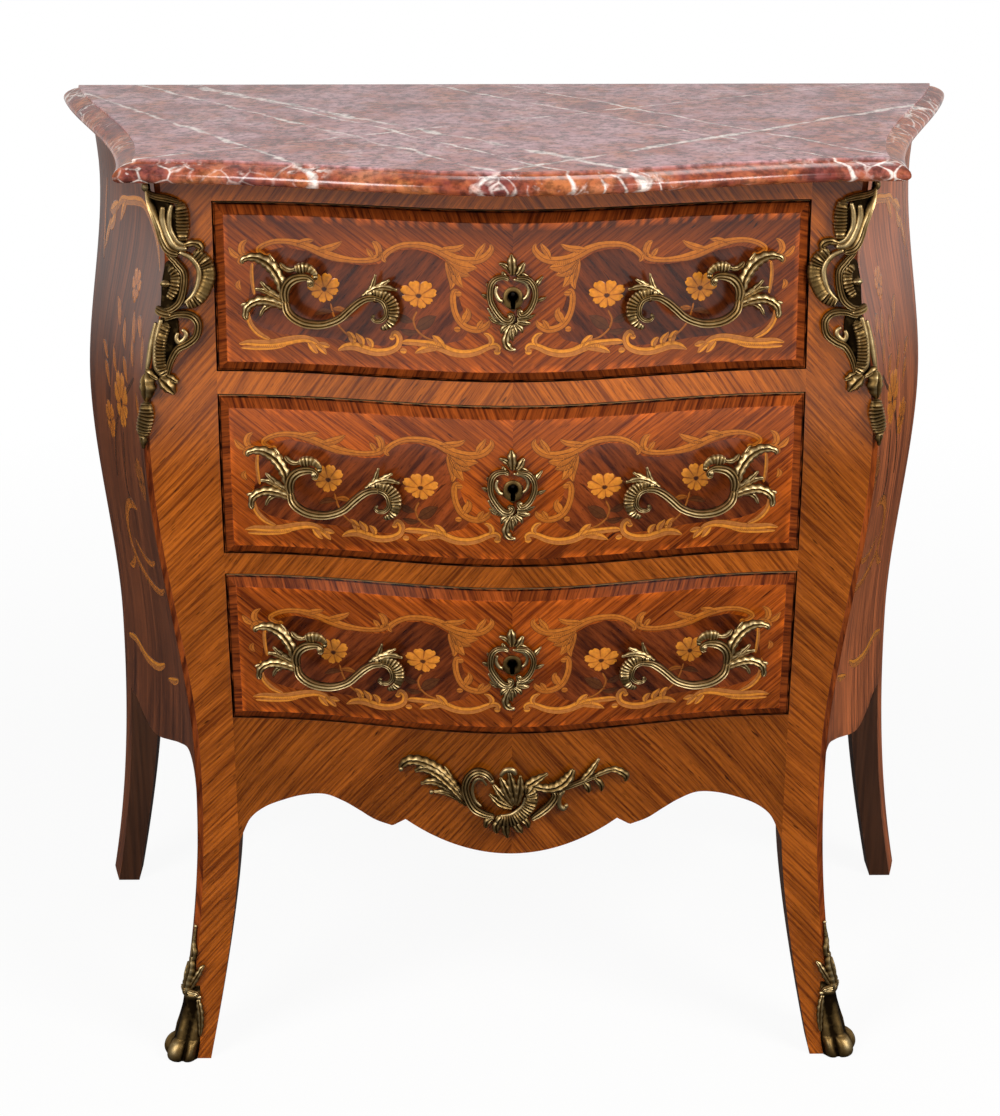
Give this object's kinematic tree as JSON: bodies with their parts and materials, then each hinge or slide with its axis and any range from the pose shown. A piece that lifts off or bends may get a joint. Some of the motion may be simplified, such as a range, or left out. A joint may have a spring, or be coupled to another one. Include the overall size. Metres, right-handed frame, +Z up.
{
  "type": "commode chest",
  "caption": "Serpentine, swelling commode chest with a moulded marble top, sliding inlaid drawers, locks and gilt bronze pulls, corner and foot mounts.",
  "frame": {"origin": "on the floor, below the middle of the marble top's outline", "axes": "+X to the right as the front is faced, +Y to the back, +Z up"},
  "size_m": [0.864, 0.4619, 0.85],
  "materials": {
    "marble": "polished",
    "tulipwood_veneer": "french polished",
    "marquetry_veneer": "french polished",
    "rosewood_veneer": "french polished",
    "stained_beech": "waxed",
    "oak": "planed",
    "gilt_bronze": "chased and gilt",
    "wrought_iron": "filed"
  },
  "bodies": {
    "carcass": {"marble_top": "marble", "left_front_post": "tulipwood_veneer", "right_front_post": "tulipwood_veneer", "left_rear_post": "stained_beech", "right_rear_post": "stained_beech", "left_side_panel": "rosewood_veneer", "right_side_panel": "rosewood_veneer", "back_panel": "oak", "rear_top_rail": "oak", "top_side_rails": "oak", "front_top_rail": "tulipwood_veneer", "upper_drawer_rail": "tulipwood_veneer", "lower_drawer_rail": "tulipwood_veneer", "front_apron": "tulipwood_veneer", "bottom_board": "oak", "upper_runners": "oak", "middle_runners": "oak", "lower_runners": "oak", "left_corner_mount": "gilt_bronze", "right_corner_mount": "gilt_bronze", "apron_mount": "gilt_bronze", "left_foot_mount": "gilt_bronze", "right_foot_mount": "gilt_bronze"},
    "lower_drawer": {"lower_drawer_front": "marquetry_veneer", "lower_drawer_left_side": "oak", "lower_drawer_right_side": "oak", "lower_drawer_back": "oak", "lower_drawer_floor": "oak", "lower_left_pull": "gilt_bronze", "lower_right_pull": "gilt_bronze", "lower_pull_screws": "wrought_iron", "lower_escutcheon": "gilt_bronze", "lower_lock_case": "wrought_iron"},
    "lower_bolt": {"lower_lock_bolt": "wrought_iron"},
    "middle_drawer": {"middle_drawer_front": "marquetry_veneer", "middle_drawer_left_side": "oak", "middle_drawer_right_side": "oak", "middle_drawer_back": "oak", "middle_drawer_floor": "oak", "middle_left_pull": "gilt_bronze", "middle_right_pull": "gilt_bronze", "middle_pull_screws": "wrought_iron", "middle_escutcheon": "gilt_bronze", "middle_lock_case": "wrought_iron"},
    "middle_bolt": {"middle_lock_bolt": "wrought_iron"},
    "upper_drawer": {"upper_drawer_front": "marquetry_veneer", "upper_drawer_left_side": "oak", "upper_drawer_right_side": "oak", "upper_drawer_back": "oak", "upper_drawer_floor": "oak", "upper_left_pull": "gilt_bronze", "upper_right_pull": "gilt_bronze", "upper_pull_screws": "wrought_iron", "upper_escutcheon": "gilt_bronze", "upper_lock_case": "wrought_iron"},
    "upper_bolt": {"upper_lock_bolt": "wrought_iron"}
  },
  "joints": [
    {"name": "lower_drawer_slide", "type": "slide", "parent": "carcass", "child": "lower_drawer", "axis": [0, -1, 0], "range_m": [0, 0.3]},
    {"name": "lower_bolt_slide", "type": "slide", "parent": "lower_drawer", "child": "lower_bolt", "axis": [0, 0, 1], "range_m": [0, 0.008]},
    {"name": "middle_drawer_slide", "type": "slide", "parent": "carcass", "child": "middle_drawer", "axis": [0, -1, 0], "range_m": [0, 0.3]},
    {"name": "middle_bolt_slide", "type": "slide", "parent": "middle_drawer", "child": "middle_bolt", "axis": [0, 0, 1], "range_m": [0, 0.008]},
    {"name": "upper_drawer_slide", "type": "slide", "parent": "carcass", "child": "upper_drawer", "axis": [0, -1, 0], "range_m": [0, 0.3]},
    {"name": "upper_bolt_slide", "type": "slide", "parent": "upper_drawer", "child": "upper_bolt", "axis": [0, 0, 1], "range_m": [0, 0.008]}
  ]
}
